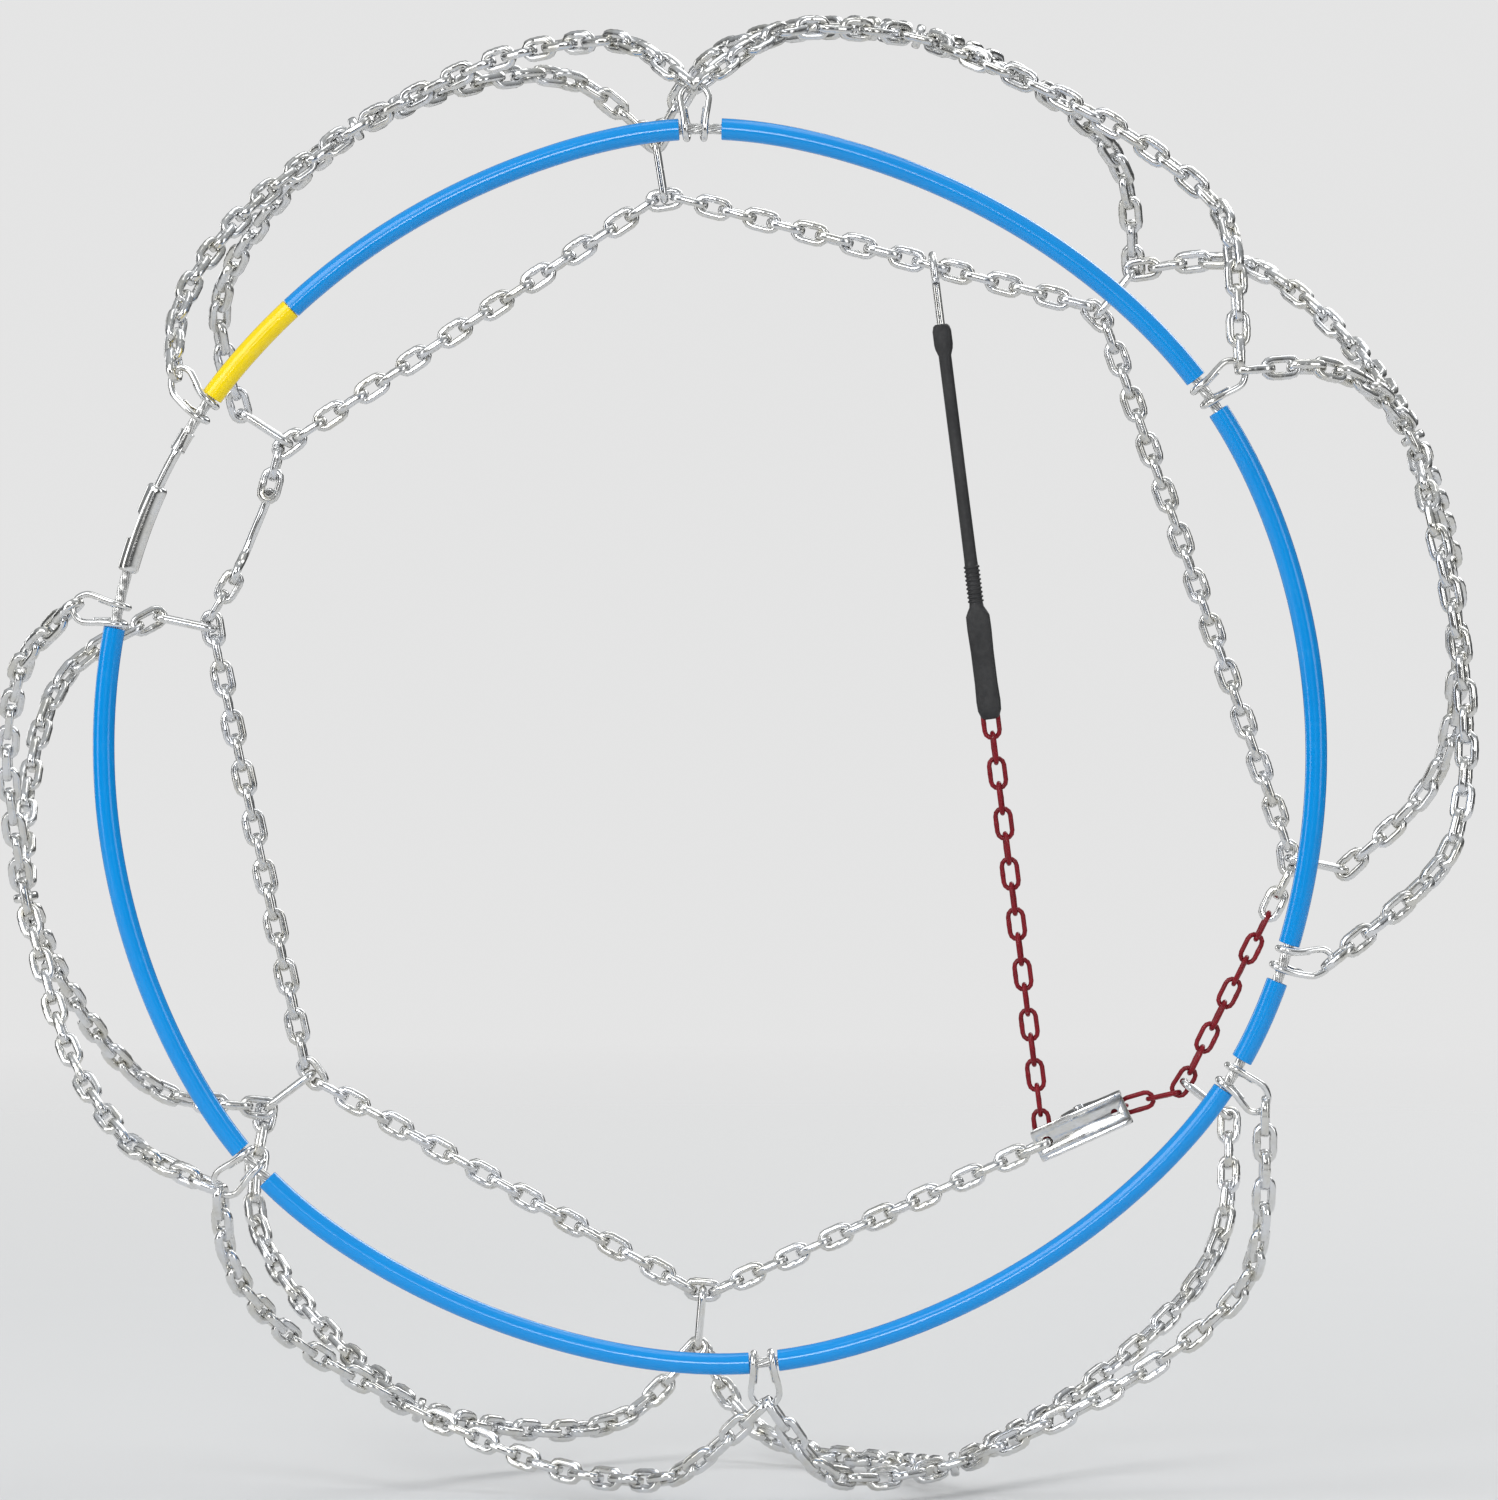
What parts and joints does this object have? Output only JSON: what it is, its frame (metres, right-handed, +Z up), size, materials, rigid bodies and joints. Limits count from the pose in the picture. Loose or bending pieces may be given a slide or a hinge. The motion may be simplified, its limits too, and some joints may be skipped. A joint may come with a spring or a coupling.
{
  "type": "tire snow chain",
  "caption": "Diamond-pattern snow chain in its fitted shape: a plastic-tubed cable hoop with wire shackles, chain net over the tread, outer side chain, ratchet and rubber tensioner.",
  "frame": {"origin": "the wheel's centre: the middle of the tire's width on the axle line of the tire that the chain is fitted on", "axes": "+Y along the axle towards the outer side with the ratchet, -Y towards the vehicle side with the cable hoop, +Z up, +X to the right as seen from the vehicle side"},
  "size_m": [0.6347, 0.2495, 0.6347],
  "materials": {
    "zinc": "bright zinc plating over hardened steel",
    "cable_steel": "bare stranded steel cable",
    "blue_plastic": "glossy extruded tube",
    "yellow_plastic": "glossy extruded tube",
    "red_paint": "dark red coating on chain",
    "black_rubber": "moulded, satin"
  },
  "bodies": {
    "net": {"blue_tube_1_8": "blue_plastic", "blue_tube_2_1": "blue_plastic", "blue_tube_3_2": "blue_plastic", "blue_tube_4_3": "blue_plastic", "blue_tube_5_4": "blue_plastic", "blue_tube_6_5": "blue_plastic", "blue_tube_7_6": "blue_plastic", "yellow_tube": "yellow_plastic", "hoop_cable": "cable_steel", "keyhole_sleeve": "zinc", "inner_chain_12": "zinc", "inner_chain_23": "zinc", "inner_chain_45": "zinc", "inner_chain_56": "zinc", "inner_chain_67": "zinc", "inner_chain_81": "zinc", "outer_chain_12": "zinc", "outer_chain_23": "zinc", "outer_chain_45": "zinc", "outer_chain_56": "zinc", "outer_chain_67": "zinc", "outer_chain_81": "zinc", "junction_link_12": "zinc", "junction_link_23": "zinc", "junction_link_45": "zinc", "junction_link_56": "zinc", "junction_link_67": "zinc", "junction_link_81": "zinc", "side_hook_1": "zinc", "side_hook_2": "zinc", "side_hook_3": "zinc", "side_hook_4": "zinc", "side_hook_5": "zinc", "side_hook_6": "zinc", "side_hook_7": "zinc", "side_hook_8": "zinc", "side_chain_a": "zinc", "side_chain_b": "zinc", "ratchet_housing": "zinc", "pawl_pin": "zinc", "pawl_spring": "cable_steel", "tension_chain_tail": "red_paint"},
    "shackle_1": {"shackle_1": "zinc"},
    "shackle_2": {"shackle_2": "zinc"},
    "shackle_3": {"shackle_3": "zinc"},
    "shackle_4": {"shackle_4": "zinc"},
    "shackle_5": {"shackle_5": "zinc"},
    "shackle_6": {"shackle_6": "zinc"},
    "shackle_7": {"shackle_7": "zinc"},
    "shackle_8": {"shackle_8": "zinc"},
    "plug": {"plug_cable": "cable_steel", "crimp_ferrule": "zinc", "plug_pin": "zinc"},
    "closure_hook": {"closure_hook": "zinc"},
    "ratchet_pawl": {"ratchet_pawl": "zinc"},
    "tension_line": {"tension_chain_run": "red_paint", "rubber_tensioner": "black_rubber"},
    "tensioner_hook": {"tensioner_hook": "zinc"}
  },
  "joints": [
    {"name": "shackle_1_swing", "type": "hinge", "parent": "net", "child": "shackle_1", "pos_m": [-0.02025, -0.1115, 0.26782], "axis": [-0.9997, 0, -0.0227], "range_deg": [-12, 12]},
    {"name": "shackle_2_swing", "type": "hinge", "parent": "net", "child": "shackle_2", "pos_m": [0.19551, -0.1115, 0.15637], "axis": [-0.5835, 0, 0.8121], "range_deg": [-12, 12]},
    {"name": "shackle_3_swing", "type": "hinge", "parent": "net", "child": "shackle_3", "pos_m": [0.2289, -0.1115, -0.08292], "axis": [0.342, 0, 0.9397], "range_deg": [-12, 12]},
    {"name": "shackle_4_swing", "type": "hinge", "parent": "net", "child": "shackle_4", "pos_m": [0.20648, -0.1115, -0.1329], "axis": [0.5314, 0, 0.8471], "range_deg": [-12, 12]},
    {"name": "shackle_5_swing", "type": "hinge", "parent": "net", "child": "shackle_5", "pos_m": [0.00841, -0.1115, -0.25396], "axis": [0.9962, 0, 0.0872], "range_deg": [-12, 12]},
    {"name": "shackle_6_swing", "type": "hinge", "parent": "net", "child": "shackle_6", "pos_m": [-0.2088, -0.1115, -0.16892], "axis": [0.6678, 0, -0.7443], "range_deg": [-12, 12]},
    {"name": "shackle_7_swing", "type": "hinge", "parent": "net", "child": "shackle_7", "pos_m": [-0.26476, -0.1115, 0.06296], "axis": [-0.2233, 0, -0.9748], "range_deg": [-12, 12]},
    {"name": "shackle_8_swing", "type": "hinge", "parent": "net", "child": "shackle_8", "pos_m": [-0.22809, -0.1115, 0.1498], "axis": [-0.5592, 0, -0.829], "range_deg": [-12, 12]},
    {"name": "plug_push", "type": "hinge", "parent": "net", "child": "plug", "pos_m": [-0.0143, -0.1115, 0.0056], "axis": [0, -1, 0], "range_deg": [0, 2.2]},
    {"name": "closure_hook_swing", "type": "hinge", "parent": "net", "child": "closure_hook", "pos_m": [-0.22728, 0.11, 0.07565], "axis": [-0.9239, 0, 0.3827], "range_deg": [0, 80]},
    {"name": "pawl_lift", "type": "hinge", "parent": "net", "child": "ratchet_pawl", "pos_m": [0.14808, 0.128, -0.16901], "axis": [0.4067, 0, -0.9135], "range_deg": [0, 35], "stiffness_Nm_per_rad": 0.02, "springref_deg": -20.05},
    {"name": "tension_pull", "type": "slide", "parent": "net", "child": "tension_line", "axis": [-0.1257, 0, 0.9921], "range_m": [0, 0.024]},
    {"name": "tensioner_stretch", "type": "slide", "parent": "tension_line", "child": "tensioner_hook", "axis": [-0.1257, 0, 0.9921], "range_m": [0, 0.02], "stiffness_N_per_m": 1500}
  ]
}
